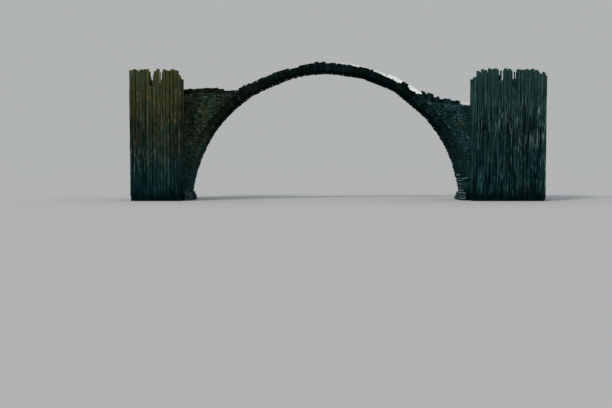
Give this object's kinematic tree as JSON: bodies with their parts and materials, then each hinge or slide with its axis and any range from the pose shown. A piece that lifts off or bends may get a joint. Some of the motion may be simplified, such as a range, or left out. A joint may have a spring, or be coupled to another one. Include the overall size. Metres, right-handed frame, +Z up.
{
  "type": "moon bridge",
  "caption": "Stone moon bridge: one tall round arch of dark basalt rubble with a steep paved path, rubble abutments and towers of upright basalt columns.",
  "frame": {"origin": "middle of the footprint at water level", "axes": "+X along the bridge from its left end to its right end as seen from the front, +Y across it towards the back, +Z up"},
  "size_m": [26.4666, 4.5606, 8.9878],
  "materials": {
    "ring_stone": "rough",
    "rubble_masonry": "rough",
    "basalt_columns": "rough",
    "path_slabs": "worn",
    "edge_stone": "rough",
    "footing_rubble": "wet"
  },
  "bodies": {
    "root": {"abutment_left": "rubble_masonry", "abutment_right": "rubble_masonry", "columns_left_back_heart": "basalt_columns", "columns_left_back_outer": "basalt_columns", "columns_left_back_path": "basalt_columns", "columns_left_front_heart": "basalt_columns", "columns_left_front_outer": "basalt_columns", "columns_left_front_path": "basalt_columns", "columns_right_back_heart": "basalt_columns", "columns_right_back_outer": "basalt_columns", "columns_right_back_path": "basalt_columns", "columns_right_front_heart": "basalt_columns", "columns_right_front_outer": "basalt_columns", "columns_right_front_path": "basalt_columns", "edge_crown_back": "edge_stone", "edge_crown_front": "edge_stone", "edge_left_approach_back": "edge_stone", "edge_left_approach_front": "edge_stone", "edge_left_flank_back": "edge_stone", "edge_left_flank_front": "edge_stone", "edge_right_approach_back": "edge_stone", "edge_right_approach_front": "edge_stone", "edge_right_flank_back": "edge_stone", "edge_right_flank_front": "edge_stone", "foot_stones_left": "footing_rubble", "foot_stones_right": "footing_rubble", "footing_left_back": "footing_rubble", "footing_left_front": "footing_rubble", "footing_right_back": "footing_rubble", "footing_right_front": "footing_rubble", "path_crown": "path_slabs", "path_left_approach": "path_slabs", "path_left_flank": "path_slabs", "path_right_approach": "path_slabs", "path_right_flank": "path_slabs", "ring_crown": "ring_stone", "ring_left_flank": "ring_stone", "ring_left_foot": "ring_stone", "ring_left_haunch": "ring_stone", "ring_right_flank": "ring_stone", "ring_right_foot": "ring_stone", "ring_right_haunch": "ring_stone", "spandrel_left": "rubble_masonry", "spandrel_right": "rubble_masonry"}
  },
  "joints": []
}
